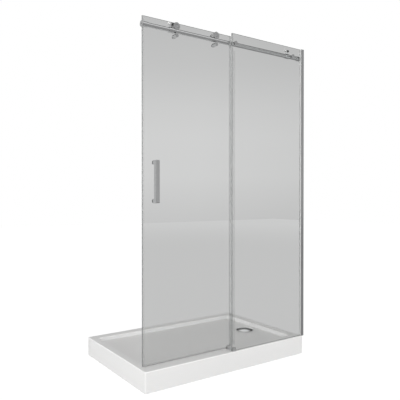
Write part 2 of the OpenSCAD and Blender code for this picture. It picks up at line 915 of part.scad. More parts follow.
// The closing edge: a channel with a soft tube towards the left wall
module strike_seal() {
    mid = (door_y + door_back) / 2;
    bulb_x = door_x0 - seal_over - bulb_r + 0.5;
    color(clear_pvc) {
        edge_channel(door_x0, 1, door_z0, door_z1);
        translate([bulb_x, mid, door_z0]) linear_extrude(door_z1 - door_z0) difference() {
            circle(bulb_r);
            circle(bulb_r - seal_t);
            translate([bulb_r - 0.5, -bulb_r]) square([2, 2 * bulb_r]);
        }
    }
}

// The trailing edge: a channel with a long fin that meets the fixed pane
module fin_seal() {
    fin_z0 = tray_h + guide_h + 12;
    fin_z1 = rail_z - rail_r - collar_t - 30;
    color(clear_pvc) {
        translate([door_x1, 0, 0]) mirror([1, 0, 0])
            translate([-door_x1, 0, 0]) edge_channel(door_x1, 1, door_z0, door_z1);
        block(
            [door_x1 - seal_t, fixed_back + 1, fin_z0],
            [door_x1, door_y - seal_over + 0.2, fin_z1]
        );
    }
}

// The channel and lip under the door
module bottom_wiper() {
    mid = (door_y + door_back) / 2;
    x0 = door_x0 + seal_depth + 1;
    x1 = door_x1 - seal_depth - 1;
    lip_z = tray_h + guide_plate_t + slide_gap + 0.1;
    color(clear_pvc) {
        difference() {
            block(
                [x0, door_y - seal_over, door_z0 - seal_over],
                [x1, door_back + seal_over, door_z0 + seal_depth - 2]
            );
            block([x0 - eps, door_y - fit, door_z0 - fit], [x1 + eps, door_back + fit, door_z0 + 20]);
        }
        block([x0, mid - 1, lip_z], [x1, mid + 1, door_z0 - seal_over + 0.1]);
    }
}

// Handle

// The bar's section, upright, between z0 and z1
module handle_section(y0, y1, z0, z1) {
    translate([handle_x, 0, z0]) linear_extrude(z1 - z0)
        round_rect([-handle_s / 2, y0], [handle_s / 2, y1], handle_edge_r);
}

// Side view of the handle between its two ends, with rounded front corners
module handle_bend(leg_end) {
    z0 = handle_z - handle_len / 2;
    z1 = handle_z + handle_len / 2;
    translate([handle_x - handle_s, 0, 0]) rotate([90, 0, 90]) linear_extrude(2 * handle_s) {
        translate([handle_front + handle_bend_r, z0])
            square([leg_end - handle_front - handle_bend_r, handle_len]);
        translate([handle_front, z0 + handle_bend_r])
            square([2 * handle_bend_r, handle_len - 2 * handle_bend_r]);
        for (z = [z0 + handle_bend_r, z1 - handle_bend_r]) {
            translate([handle_front + handle_bend_r, z]) circle(r = handle_bend_r);
        }
    }
}

module handle() {
    bar_back = handle_front + handle_s;
    leg_end = door_y - washer_t;
    color(chrome) difference() {
        intersection() {
            union() {
                handle_section(handle_front, bar_back, handle_z - handle_len / 2, handle_z + handle_len / 2);
                for (z = handle_zs) {
                    handle_section(handle_front, leg_end, z - handle_leg_h / 2, z + handle_leg_h / 2);
                }
            }
            handle_bend(leg_end);
        }
        for (z = handle_zs) bar_y(handle_x, z, leg_end - 12, leg_end + eps, handle_bolt_r + fit);
    }
}

module handle_gaskets() {
    color(clear_pvc) for (z = handle_zs) {
        washer_y(handle_x, z, door_y - washer_t, door_y, handle_s / 2 - 1, handle_bolt_r + fit);
        washer_y(handle_x, z, door_back, door_back + washer_t, knob_r - 1, handle_bolt_r + fit);
    }
}

// The round heads inside the door that the handle's bolts run into
module handle_knobs() {
    y0 = door_back + washer_t;
    color(chrome) for (z = handle_zs) difference() {
        bar_y(handle_x, z, y0, y0 + knob_t, knob_r);
        bar_y(handle_x, z, y0 - eps, y0 + knob_t - 1.5, handle_bolt_r + fit);
    }
}

module handle_bolts() {
    color(steel) for (z = handle_zs) {
        bar_y(handle_x, z, door_y - washer_t - 11, door_back + washer_t + 3, handle_bolt_r);
    }
}

// Door rollers

// The fixed axle: a head, the bearing seat, a step, a collar at the glass and the thread
module roller_axles() {
    seat_y0 = rail_y - bearing_half - slide_gap;
    seat_y1 = rail_y + bearing_half + slide_gap;
    collar_y = tyre_y1 + disc_t + slide_gap;
    color(steel) for (x = roller_xs) {
        bar_y(x, roller_z, seat_y0 - head_t, door_back + washer_t + thread_over, axle_r);
        bar_y(x, roller_z, seat_y0 - head_t, seat_y0, head_r);
        bar_y(x, roller_z, seat_y1, door_y - washer_t, step_r);
        bar_y(x, roller_z, collar_y, door_y - washer_t, axle_collar_r);
    }
}

module roller_gaskets() {
    color(clear_pvc) for (x = roller_xs) {
        washer_y(x, roller_z, door_y - washer_t, door_y, axle_collar_r, axle_r + fit);
        washer_y(x, roller_z, door_back, door_back + washer_t, nut_r - 1, axle_r + fit);
    }
}

// The round nuts inside the door
module nut_disc(x, z, r, t) {
    y0 = door_back + washer_t;
    difference() {
        bar_y(x, z, y0, y0 + t, r);
        bar_y(x, z, y0 - eps, y0 + thread_over + fit, axle_r + fit);
    }
}

module roller_nuts() {
    color(chrome) for (x = roller_xs) nut_disc(x, roller_z, nut_r, nut_t);
}

// Roller at x: the grooved tyre
module roller_tyre(x) {
    color(white) translate([x, rail_y, roller_z]) rotate([90, 0, 0]) rotate_extrude($fn = 96)
        difference() {
            translate([bearing_r + run_fit, -tyre_half])
                square([disc_r - bearing_r - run_fit, 2 * tyre_half]);
            translate([axle_rise, 0]) circle(groove_r, $fn = 96);
        }
}

// Roller at x: the two chromed side discs
module roller_discs(x) {
    color(chrome) {
        washer_y(x, roller_z, tyre_y0 - disc_t, tyre_y0, disc_r, roller_cap_r + fit);
        washer_y(x, roller_z, tyre_y1, tyre_y1 + disc_t, disc_r, step_r + 0.5);
    }
}

module roller_bearing(x) {
    color(steel)
        washer_y(x, roller_z, rail_y - bearing_half, rail_y + bearing_half, bearing_r, axle_r + run_fit);
}

// Roller at x: the dark plug in the front disc
module roller_cap(x) {
    y0 = tyre_y0 - disc_t + 0.8;
    color(plastic_grey) bar_y(x, roller_z, y0, y0 + cap_t, roller_cap_r);
}

// Lift guards

module guard_pins() {
    disc_y = door_y - washer_t - guard_disc_t;
    color(chrome) for (x = roller_xs) difference() {
        union() {
            bar_y(x, guard_z, guard_front, disc_y, guard_r);
            bar_y(x, guard_z, disc_y, door_y - washer_t, guard_disc_r);
            bar_y(x, guard_z, door_y - washer_t, door_back + washer_t + thread_over, axle_r);
        }
        translate([x, guard_post_y, guard_z + guard_r - post_sink])
            cylinder(r = guard_post_r + fit, h = post_sink + eps);
    }
}

module guard_posts() {
    z0 = guard_z + guard_r - post_sink;
    z1 = rail_z - rail_r - guard_gap;
    color(chrome) for (x = roller_xs) translate([x, guard_post_y, z0]) cylinder(r = guard_post_r, h = z1 - z0);
}

module guard_gaskets() {
    color(clear_pvc) for (x = roller_xs) {
        washer_y(x, guard_z, door_y - washer_t, door_y, guard_disc_r, axle_r + fit);
        washer_y(x, guard_z, door_back, door_back + washer_t, guard_nut_r, axle_r + fit);
    }
}

module guard_nuts() {
    color(chrome) for (x = roller_xs) nut_disc(x, guard_z, guard_nut_r, guard_nut_t);
}

place() {
    tray_shell();
    base_board();
    frame_runners();
    frame_crossbars();
    leg_studs();
    leg_nuts();
    leg_pads();
    drain_gasket();
    drain_ring();
    drain_body();
    outlet_nut();
    drain_cover();
    hair_cup();
    wall_profile();
    profile_cap();
    glazing_gaskets();
    fixed_glass();
    fixed_panel_seal();
    setting_strip();
    rail();
    rail_bush_left();
    rail_bush_right();
    grub_screws();
    rail_brackets();
    bracket_caps();
    bracket_bolts();
    bracket_washers();
    stop_brackets();
    stop_buffers();
    stop_end_caps();
    floor_guide();
    guide_pads();
    guide_screws();
    door_glass();
    strike_seal();
    fin_seal();
    bottom_wiper();
    handle();
    handle_gaskets();
    handle_knobs();
    handle_bolts();
    roller_axles();
    roller_gaskets();
    roller_nuts();
    guard_pins();
    guard_posts();
    guard_gaskets();
    guard_nuts();
    roller_tyre(roller_xs[0]);  // roller_tyre_left
    roller_discs(roller_xs[0]);  // roller_discs_left
    roller_bearing(roller_xs[0]);  // roller_bearing_left
    roller_cap(roller_xs[0]);  // roller_cap_left
    roller_tyre(roller_xs[1]);  // roller_tyre_right
    roller_discs(roller_xs[1]);  // roller_discs_right
    roller_bearing(roller_xs[1]);  // roller_bearing_right
    roller_cap(roller_xs[1]);  // roller_cap_right
}
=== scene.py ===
"""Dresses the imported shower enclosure: finishes, rounded edges, fine parts, studio and camera."""

import json
import logging
import math
from collections.abc import Callable, Iterable, Sequence
from dataclasses import dataclass, field
from enum import Enum

import bmesh
import bpy
from mathutils import Euler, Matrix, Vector

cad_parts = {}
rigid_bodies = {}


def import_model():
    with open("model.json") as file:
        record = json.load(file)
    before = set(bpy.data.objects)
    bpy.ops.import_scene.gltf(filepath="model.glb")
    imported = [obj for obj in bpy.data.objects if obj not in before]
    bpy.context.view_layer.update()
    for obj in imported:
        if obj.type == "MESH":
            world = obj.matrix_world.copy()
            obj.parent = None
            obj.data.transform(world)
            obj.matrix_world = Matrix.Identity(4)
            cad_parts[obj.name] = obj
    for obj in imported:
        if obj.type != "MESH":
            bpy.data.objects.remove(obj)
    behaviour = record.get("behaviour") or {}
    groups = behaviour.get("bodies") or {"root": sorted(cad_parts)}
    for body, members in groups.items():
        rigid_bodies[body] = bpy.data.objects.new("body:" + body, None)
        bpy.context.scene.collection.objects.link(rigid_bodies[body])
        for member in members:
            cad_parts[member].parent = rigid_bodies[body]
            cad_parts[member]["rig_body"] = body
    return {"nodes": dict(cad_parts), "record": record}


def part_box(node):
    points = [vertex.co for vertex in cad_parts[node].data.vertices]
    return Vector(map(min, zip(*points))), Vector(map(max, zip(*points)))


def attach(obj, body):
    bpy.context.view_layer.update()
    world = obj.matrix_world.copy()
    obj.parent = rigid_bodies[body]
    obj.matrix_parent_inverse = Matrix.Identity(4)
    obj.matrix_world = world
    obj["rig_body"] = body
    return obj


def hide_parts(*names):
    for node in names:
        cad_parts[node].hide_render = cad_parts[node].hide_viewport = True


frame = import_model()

LOG = logging.getLogger("shower_enclosure")

Colour = tuple[float, float, float, float]
# Places from 0 to 1 on a ramp, each with its level
Stops = tuple[tuple[float, float], ...]
# The values of a Geometry Nodes tree's named inputs
Sizes = dict[str, float | int]

# Points of a CAD node nearer than this, in metres, are one point
WELD_DISTANCE = 0.000002
# CAD facets that turn by less than this lie in one face
FLAT_ANGLE = math.radians(0.6)
# Edges that turn by more than this stay sharp in the shading
CREASE_ANGLE = math.radians(38)


def grey(level: float) -> Colour:
    """Returns a neutral colour of that linear level."""
    return (level, level, level, 1.0)


# Shader sheets


@dataclass(frozen=True)
class Value:
    """A shader output that takes part in Python arithmetic."""

    sheet: "ShaderSheet"
    socket: bpy.types.NodeSocket

    def _math(self, operation: str, first: "Value | float", second: "Value | float") -> "Value":
        """Returns the output of a Math node.

        Args:
            operation: The Math node's operation.
            first: Its first value.
            second: Its second value.

        Returns:
            The result as a value.
        """
        return self.sheet.node("ShaderNodeMath", {"operation": operation}, {0: first, 1: second})

    def __add__(self, other: "Value | float") -> "Value":
        """Returns self + other."""
        return self._math("ADD", self, other)

    def __radd__(self, other: float) -> "Value":
        """Returns other + self."""
        return self._math("ADD", other, self)

    def __sub__(self, other: "Value | float") -> "Value":
        """Returns self - other."""
        return self._math("SUBTRACT", self, other)

    def __rsub__(self, other: float) -> "Value":
        """Returns other - self."""
        return self._math("SUBTRACT", other, self)

    def __mul__(self, other: "Value | float") -> "Value":
        """Returns self * other."""
        return self._math("MULTIPLY", self, other)

    def __rmul__(self, other: float) -> "Value":
        """Returns other * self."""
        return self._math("MULTIPLY", other, self)

    def maximum(self, other: "Value | float") -> "Value":
        """Returns the larger of self and other."""
        return self._math("MAXIMUM", self, other)

    def minimum(self, other: "Value | float") -> "Value":
        """Returns the smaller of self and other."""
        return self._math("MINIMUM", self, other)

    def between(self, low: float, high: float) -> "Value":
        """Returns self, from 0 to 1, stretched to run from low to high."""
        return self * (high - low) + low


class ShaderSheet:
    """The node tree of a material or world, and the one place where its nodes are made."""

    def __init__(self, tree: bpy.types.NodeTree) -> None:
        """Empties the tree.

        Args:
            tree: The node tree to fill.
        """
        self.tree = tree
        tree.nodes.clear()

    def node(
        self,
        kind: str,
        settings: dict[str, object] | None = None,
        inputs: dict[int | str, object] | None = None,
        output: int | str = 0,
    ) -> Value:
        """Makes a node.

        Args:
            kind: The node's type.
            settings: Properties that are set first; "stops" holds a ramp's places and levels.
            inputs: Values or links of its sockets.
            output: The socket that is returned.

        Returns:
            One of the node's outputs.
        """
        made = self.tree.nodes.new(kind)
        for name, setting in (settings or {}).items():
            if name == "stops":
                self._set_stops(made.color_ramp, setting)
            else:
                setattr(made, name, setting)
        for key, value in (inputs or {}).items():
            if isinstance(value, Value):
                self.tree.links.new(value.socket, made.inputs[key])
            else:
                made.inputs[key].default_value = value
        return Value(self, made.outputs[output] if made.outputs else made.inputs[0])

    @staticmethod
    def _set_stops(ramp: bpy.types.ColorRamp, stops: Stops) -> None:
        """Fills a ramp with grey stops.

        Args:
            ramp: The ramp.
            stops: The place and level of each stop.
        """
        while len(ramp.elements) < len(stops):
            ramp.elements.new(1.0)
        for element, (place, level) in zip(ramp.elements, stops):
            element.position = place
            element.color = grey(level)

    def noise(self, scale: float, detail: float = 2.0, stretch: Sequence[float] = (1, 1, 1)) -> Value:
        """Returns noise on the piece's own coordinates.

        Args:
            scale: Features per metre.
            detail: Octaves.
            stretch: How much denser the pattern is along each axis.

        Returns:
            A value from 0 to 1.
        """
        place = self.node("ShaderNodeTexCoord", output="Object")
        inputs = {"Vector": place, "Scale": stretch}
        spot = self.node("ShaderNodeMapping", {"vector_type": "POINT"}, inputs)
        return self.node("ShaderNodeTexNoise", {}, {"Vector": spot, "Scale": scale, "Detail": detail})

    def tint(self, factor: Value, low: Colour, high: Colour) -> Value:
        """Returns a colour between two.

        Args:
            factor: 0 for low and 1 for high.
            low: The first colour.
            high: The second colour.

        Returns:
            The mixed colour.
        """
        # Sockets 6 and 7 are the Mix node's two colours, and output 2 is the mixed colour
        inputs = {"Factor": factor, 6: low, 7: high}
        return self.node("ShaderNodeMix", {"data_type": "RGBA"}, inputs, output=2)

    def mix(self, factor: Value, low: Value | float, high: Value | float) -> Value:
        """Returns a level between two.

        Args:
            factor: 0 for low and 1 for high.
            low: The first level.
            high: The second level.

        Returns:
            The mixed level.
        """
        # Sockets 2 and 3 are the Mix node's two numbers
        return self.node("ShaderNodeMix", {"data_type": "FLOAT"}, {0: factor, 2: low, 3: high})

    def fade(self, value: Value, span: Sequence[float], levels: Sequence[float]) -> Value:
        """Returns a level that fades smoothly into another.

        Args:
            value: What the level depends on.
            span: The values at which the fade begins and ends.
            levels: The levels before and after it.

        Returns:
            The level.
        """
        inputs = {
            "Value": value,
            "From Min": span[0],
            "From Max": span[1],
            "To Min": levels[0],
            "To Max": levels[1],
        }
        return self.node("ShaderNodeMapRange", {"interpolation_type": "SMOOTHSTEP"}, inputs)

    def bump(self, height: Value, distance: float) -> Value:
        """Returns a normal that follows a height.

        Args:
            height: The height from 0 to 1.
            distance: The real height of 1, in metres.

        Returns:
            The bumped normal.
        """
        inputs = {"Height": height, "Distance": distance, "Strength": 1.0}
        return self.node("ShaderNodeBump", {}, inputs)

    def light_path(self) -> bpy.types.NodeOutputs:
        """Returns the outputs of a new Light Path node."""
        return self.node("ShaderNodeLightPath").socket.node.outputs

    def surface(self, shader: Value, kind: str = "ShaderNodeOutputMaterial") -> None:
        """Sends a shader to the output."""
        self.node(kind, {}, {"Surface": shader})


# Finishes


class Finish(Enum):
    """The finishes of the enclosure, under names that materials carry."""

    ACRYLIC = "acrylic"
    # A paler copy of the acrylic: a painted highlight on the rim's rounded outer edge
    ACRYLIC_PAINTED_HIGHLIGHT = "acrylic_painted_highlight"
    CHROME = "chrome"
    SATIN_CHROME = "satin_chrome"
    POLISHED_PROFILE = "polished_profile"
    STAINLESS = "stainless"
    GALVANISED = "galvanised"
    PANE = "pane"
    PANE_EDGE = "pane_edge"
    CLEAR_VINYL = "clear_vinyl"
    DENSE_VINYL = "dense_vinyl"
    MILKY_VINYL = "milky_vinyl"
    BLACK_RUBBER = "black_rubber"
    GREY_PLASTIC = "grey_plastic"
    WHITE_NYLON = "white_nylon"
    GREY_NYLON = "grey_nylon"
    RAW_BOARD = "raw_board"


@dataclass(frozen=True)
class Coating:
    """A finish with cloudy colour, uneven gloss and a fine relief.

    Attributes:
        low: The darkest colour.
        high: The palest colour.
        rough: The least and the most roughness.
        metallic: 1 for bare metal.
        coat: The weight of a glossy coat on top.
        coat_rough: The roughness of that coat.
        shine: The specular level.
        alpha: 1 where it is opaque, and less where it is see-through.
        cloud: Clouds of colour per metre.
        cloud_share: The share of the clouds in the roughness. The grain has the rest.
        grain: Grains per metre.
        relief: The grain's height, in metres.
        stretch: How much denser both patterns are along each axis.
    """

    low: Colour
    high: Colour
    rough: tuple[float, float]
    metallic: float = 0.0
    coat: float = 0.0
    coat_rough: float = 0.06
    shine: float = 0.5
    alpha: float = 1.0
    cloud: float = 6.0
    cloud_share: float = 0.6
    grain: float = 400.0
    relief: float = 0.00002
    stretch: tuple[float, float, float] = (1.0, 1.0, 1.0)

    def build(self, sheet: ShaderSheet) -> None:
        """Writes the finish into a material's sheet.

        Args:
            sheet: The sheet to fill.
        """
        cloud = sheet.noise(self.cloud, detail=3.0, stretch=self.stretch)
        grain = sheet.noise(self.grain, stretch=self.stretch)
        uneven = cloud * self.cloud_share + grain * (1.0 - self.cloud_share)
        inputs = {
            "Base Color": sheet.tint(cloud, self.low, self.high),
            "Roughness": uneven.between(*self.rough),
            "Metallic": self.metallic,
            "Specular IOR Level": self.shine,
            "Coat Weight": self.coat,
            "Coat Roughness": self.coat_rough,
            "Alpha": self.alpha,
            "Normal": sheet.bump(grain, self.relief),
        }
        sheet.surface(sheet.node("ShaderNodeBsdfPrincipled", {}, inputs))


@dataclass(frozen=True)
class ClearSheet:
    """Clear glass that lets soft light through to what stands behind it.

    Attributes:
        colour: The tint of what is seen through it.
        shade: The tint of the light that falls through it.
        index: The refractive index.
        rough: The least and the most roughness.
        smear: Smears per metre.
    """

    colour: Colour
    shade: Colour
    index: float
    rough: tuple[float, float]
    smear: float = 5.0

    def build(self, sheet: ShaderSheet) -> None:
        """Writes the finish into a material's sheet.

        Args:
            sheet: The sheet to fill.
        """
        smears = sheet.noise(self.smear, detail=3.0)
        inputs = {
            "Base Color": self.colour,
            "Roughness": smears.between(*self.rough),
            "IOR": self.index,
            "Transmission Weight": 1.0,
        }
        body = sheet.node("ShaderNodeBsdfPrincipled", {}, inputs)
        clear = sheet.node("ShaderNodeBsdfTransparent", {}, {"Color": self.shade})
        outs = sheet.light_path()
        lighting = Value(sheet, outs["Is Shadow Ray"]).maximum(Value(sheet, outs["Is Diffuse Ray"]))
        sheet.surface(sheet.node("ShaderNodeMixShader", {}, {0: lighting, 1: body, 2: clear}))


RECIPES: dict[Finish, Coating | ClearSheet] = {
    Finish.ACRYLIC: Coating(
        (0.745, 0.743, 0.737, 1), (0.765, 0.763, 0.757, 1), (0.25, 0.35),
        shine=0.15, cloud=3, relief=0.00001,
    ),
    # Painted highlight: the acrylic made paler for the rim's rounded outer edge
    Finish.ACRYLIC_PAINTED_HIGHLIGHT: Coating(
        (0.935, 0.933, 0.926, 1), (0.955, 0.953, 0.946, 1), (0.15, 0.25),
        coat=0.3, cloud=3, relief=0.00001,
    ),
    Finish.CHROME: Coating(
        (0.66, 0.665, 0.67, 1), (0.72, 0.725, 0.73, 1), (0.06, 0.14),
        metallic=1.0, cloud=30, relief=0.000002,
    ),
    Finish.SATIN_CHROME: Coating(
        (0.78, 0.785, 0.79, 1), (0.84, 0.845, 0.85, 1), (0.3, 0.42),
        metallic=1.0, cloud=60, grain=900,
    ),
    Finish.POLISHED_PROFILE: Coating(
        (0.58, 0.585, 0.59, 1), (0.63, 0.635, 0.64, 1), (0.12, 0.22),
        metallic=1.0, cloud=40, relief=0.000003, stretch=(1, 1, 0.04),
    ),
    Finish.STAINLESS: Coating(
        grey(0.5), grey(0.6), (0.25, 0.4),
        metallic=1.0, cloud=60, grain=900,
    ),
    Finish.GALVANISED: Coating(
        (0.36, 0.37, 0.38, 1), (0.56, 0.57, 0.58, 1), (0.35, 0.55),
        metallic=0.9, cloud=90, grain=500,
    ),
    Finish.PANE: ClearSheet((0.85, 0.855, 0.853, 1), grey(0.96), 1.2, (0.0, 0.012)),
    Finish.PANE_EDGE: Coating(
        (0.19, 0.203, 0.2, 1), (0.23, 0.243, 0.24, 1), (0.15, 0.3),
        cloud=60, coat=0.5, relief=0.00001,
    ),
    Finish.CLEAR_VINYL: Coating(
        (0.3, 0.305, 0.303, 1), (0.36, 0.365, 0.363, 1), (0.18, 0.3),
        alpha=0.055, cloud=40, relief=0.00001,
    ),
    Finish.DENSE_VINYL: Coating(
        (0.28, 0.285, 0.283, 1), (0.34, 0.345, 0.343, 1), (0.18, 0.3),
        alpha=0.12, cloud=40, relief=0.00001,
    ),
    Finish.MILKY_VINYL: Coating(
        (0.62, 0.622, 0.62, 1), (0.67, 0.672, 0.67, 1), (0.25, 0.4),
        coat=0.2, cloud=40, relief=0.00001,
    ),
    Finish.BLACK_RUBBER: Coating(
        grey(0.07), grey(0.09), (0.35, 0.5),
        cloud=50, grain=1500,
    ),
    Finish.GREY_PLASTIC: Coating(
        (0.19, 0.193, 0.197, 1), (0.24, 0.243, 0.247, 1), (0.35, 0.5),
        cloud=30, grain=1200,
    ),
    Finish.WHITE_NYLON: Coating(
        (0.56, 0.56, 0.555, 1), (0.62, 0.62, 0.615, 1), (0.35, 0.5),
        cloud=40, grain=1200,
    ),
    Finish.GREY_NYLON: Coating(
        (0.32, 0.322, 0.322, 1), (0.37, 0.372, 0.372, 1), (0.35, 0.5),
        cloud=40, grain=1200,
    ),
    Finish.RAW_BOARD: Coating(
        (0.3, 0.2, 0.115, 1), (0.5, 0.37, 0.24, 1), (0.7, 0.9),
        cloud=140, grain=500, relief=0.0003,
    ),
}

FINISH_OF_SLOT: dict[str, Finish] = {
    "acrylic_white": Finish.ACRYLIC,
    "board": Finish.RAW_BOARD,
    "galvanised_steel": Finish.GALVANISED,
    "stainless_steel": Finish.STAINLESS,
    "chrome_trim": Finish.CHROME,
    "polished_aluminium": Finish.POLISHED_PROFILE,
    "glass_clear": Finish.PANE,
    "clear_seal": Finish.CLEAR_VINYL,
    "rubber_black": Finish.BLACK_RUBBER,
    "plastic_grey": Finish.GREY_PLASTIC,
    "plastic_white": Finish.WHITE_NYLON,
}


class FinishShelf:
    """Keeps one material for each finish."""

    def __init__(self) -> None:
        """Starts empty."""
        self._made: dict[Finish, bpy.types.Material] = {}

    def get(self, finish: Finish) -> bpy.types.Material:
        """Returns the material of a finish, made on first use.

        Args:
            finish: The finish.

        Returns:
            Its material.
        """
        if finish not in self._made:
            material = bpy.data.materials.new(finish.value)
            material.use_nodes = True
            RECIPES[finish].build(ShaderSheet(material.node_tree))
            self._made[finish] = material
        return self._made[finish]


# Pieces


@dataclass(frozen=True)
class Rounding:
    """How the sharp edges of a piece are rounded.

    Attributes:
        width: The rounding's width in metres, or 0 for none.
        segments: The faces that make it.
        angle: The turn in degrees from which an edge is rounded.
        where: Tells by an edge's middle whether it is rounded, where not every edge is.
    """

    width: float
    segments: int = 2
    angle: float = 30.0
    where: Callable[[Vector], bool] | None = None


UNROUNDED = Rounding(0.0)


@dataclass
class SubAssembly:
    """Ways that every sub-assembly uses to turn CAD nodes into finished pieces."""

    shelf: FinishShelf
    made: list[bpy.types.Object] = field(default_factory=list)

    @staticmethod
    def slot_of(node: str) -> str:
        """Returns the record's material slot of a node."""
        parts = frame["record"]["subparts"]
        return next(part["material_slot"] for part in parts if part["node"] == node)

    def finish_of(self, node: str) -> Finish:
        """Returns the finish that a node's material slot asks for."""
        return FINISH_OF_SLOT[self.slot_of(node)]

    def dress(self, *nodes: str, finish: Finish | None = None) -> None:
        """Gives CAD nodes that stay as they are their finishes.

        Args:
            nodes: The nodes.
            finish: The finish, where it isn't the one of the node's slot.
        """
        for node in nodes:
            piece = frame["nodes"][node]
            piece.data.materials.clear()
            piece.data.materials.append(self.shelf.get(finish or self.finish_of(node)))
            self.made.append(piece)

    def add(self, name: str, mesh: bpy.types.Mesh, body: str, slot: str) -> bpy.types.Object:
        """Puts a mesh into the scene as a piece of a body.

        Args:
            name: The piece's name.
            mesh: Its mesh, in place.
            body: The CAD body that it rides on.
            slot: The record's material slot; not used.

        Returns:
            The new object.
        """
        piece = bpy.data.objects.new(name, mesh)
        bpy.context.scene.collection.objects.link(piece)
        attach(piece, body)
        self.made.append(piece)
        return piece

    def refine(
        self, node: str, rounding: Rounding, finish: Finish | None = None
    ) -> bpy.types.Object:
        """Replaces a CAD node with a welded copy that has rounded edges and smooth shading.

        Args:
            node: The node.
            rounding: How its edges are rounded.
            finish: The finish, where it isn't the one of the node's slot.

        Returns:
            The new piece.
        """
        source = frame["nodes"][node]
        form = bmesh.new()
        form.from_mesh(source.data)
        bmesh.ops.remove_doubles(form, verts=form.verts, dist=WELD_DISTANCE)
        bmesh.ops.dissolve_limit(form, angle_limit=FLAT_ANGLE, verts=form.verts, edges=form.edges)
        sharp = [edge for edge in form.edges if self._is_sharp(edge, rounding)]
        if sharp and rounding.width > 0:
            bmesh.ops.bevel(
                form,
                geom=sharp,
                offset=rounding.width,
                offset_type="OFFSET",
                segments=rounding.segments,
                profile=0.5,
                affect="EDGES",
                clamp_overlap=True,
            )
        for face in form.faces:
            face.smooth = True
            face.material_index = 0
        mesh = bpy.data.meshes.new(node + "_form")
        form.to_mesh(mesh)
        form.free()
        mesh.set_sharp_from_angle(angle=CREASE_ANGLE)
        mesh.materials.clear()
        mesh.materials.append(self.shelf.get(finish or self.finish_of(node)))
        piece = self.add(node + "_piece", mesh, source["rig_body"], self.slot_of(node))
        shading = piece.modifiers.new("even_shading", "WEIGHTED_NORMAL")
        shading.keep_sharp = True
        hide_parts(node)
        return piece

    @staticmethod
    def _is_sharp(edge: bmesh.types.BMEdge, rounding: Rounding) -> bool:
        """Returns whether an edge is rounded.

        Args:
            edge: The edge.
            rounding: The rounding that is asked for.

        Returns:
            True where it joins two faces, turns enough and lies where the rounding is.
        """
        if len(edge.link_faces) != 2 or edge.calc_face_angle(0.0) < math.radians(rounding.angle):
            return False
        middle = (edge.verts[0].co + edge.verts[1].co) / 2
        return rounding.where is None or rounding.where(middle)

    def report(self) -> None:
        """Logs the pieces of this sub-assembly."""
        for piece in self.made:
            LOG.info("%s: %s, %d faces", type(self).__name__, piece.name, len(piece.data.polygons))


# Repeated details


class TreeSheet:
    """A Geometry Nodes tree with named inputs, built node by node."""

    def __init__(self, name: str, sizes: Sizes) -> None:
        """Makes the tree and its sockets.

        Args:
            name: The tree's name.
            sizes: Its named inputs and their values.
        """
        self.tree = bpy.data.node_groups.new(name, "GeometryNodeTree")
        self.sizes = sizes
        face = self.tree.interface
        face.new_socket("Geometry", in_out="INPUT", socket_type="NodeSocketGeometry")
        self.identifiers: dict[str, str] = {}
        for size, value in sizes.items():
            kind = "NodeSocketInt" if isinstance(value, int) else "NodeSocketFloat"
            socket = face.new_socket(size, in_out="INPUT", socket_type=kind)
            self.identifiers[size] = socket.identifier
        face.new_socket("Geometry", in_out="OUTPUT", socket_type="NodeSocketGeometry")
        self.group = self.tree.nodes.new("NodeGroupInput")

    def node(
        self,
        kind: str,
        settings: dict[str, object] | None = None,
        inputs: dict[int | str, object] | None = None,
    ) -> bpy.types.Node:
        """Makes a node; an input that names a size is linked to it.

        Args:
            kind: The node's type.
            settings: Properties that are set first.
            inputs: Values, sizes' names or sockets.

        Returns:
            The node.
        """
        made = self.tree.nodes.new(kind)
        for name, setting in (settings or {}).items():
            setattr(made, name, setting)
        for key, value in (inputs or {}).items():
            if isinstance(value, bpy.types.NodeSocket):
                self.tree.links.new(value, made.inputs[key])
            elif isinstance(value, str):
                self.tree.links.new(self.group.outputs[value], made.inputs[key])
            else:
                made.inputs[key].default_value = value
        return made

    def finish(self, shape: bpy.types.NodeSocket, material: bpy.types.Material) -> None:
        """Ends the tree in Realize Instances and Set Material.

        Args:
            shape: The geometry so far.
            material: The material of the result.
        """
        real = self.node("GeometryNodeRealizeInstances", {}, {0: shape})
        inputs = {"Geometry": real.outputs[0], "Material": material}
        dressed = self.node("GeometryNodeSetMaterial", {}, inputs)
        self.node("NodeGroupOutput", {}, {0: dressed.outputs[0]})

    def scatter(
        self,
        points: bpy.types.NodeSocket,
        shape: bpy.types.NodeSocket,
        turn: bpy.types.NodeSocket | None = None,
    ) -> bpy.types.NodeSocket:
        """Puts a shape on each point.

        Args:
            points: The points.
            shape: The shape.
            turn: How it is turned on its point, where it is.

        Returns:
            The instances.
        """
        inputs = {"Points": points, "Instance": shape}
        if turn is not None:
            inputs["Rotation"] = turn
        return self.node("GeometryNodeInstanceOnPoints", {}, inputs).outputs[0]

    def grow(self, points: Iterable[Sequence[float]]) -> bpy.types.Mesh:
        """Runs the tree on some points.

        Args:
            points: Where the tree's shape is put.

        Returns:
            The plain mesh that it makes.
        """
        seed = bpy.data.meshes.new(self.tree.name + "_points")
        seed.from_pydata([tuple(point) for point in points], [], [])
        carrier = bpy.data.objects.new(self.tree.name + "_carrier", seed)
        bpy.context.scene.collection.objects.link(carrier)
        modifier = carrier.modifiers.new("repeat", "NODES")
        modifier.node_group = self.tree
        for size, value in self.sizes.items():
            modifier[self.identifiers[size]] = value
        graph = bpy.context.evaluated_depsgraph_get()
        mesh = bpy.data.meshes.new_from_object(carrier.evaluated_get(graph))
        bpy.data.objects.remove(carrier)
        return mesh


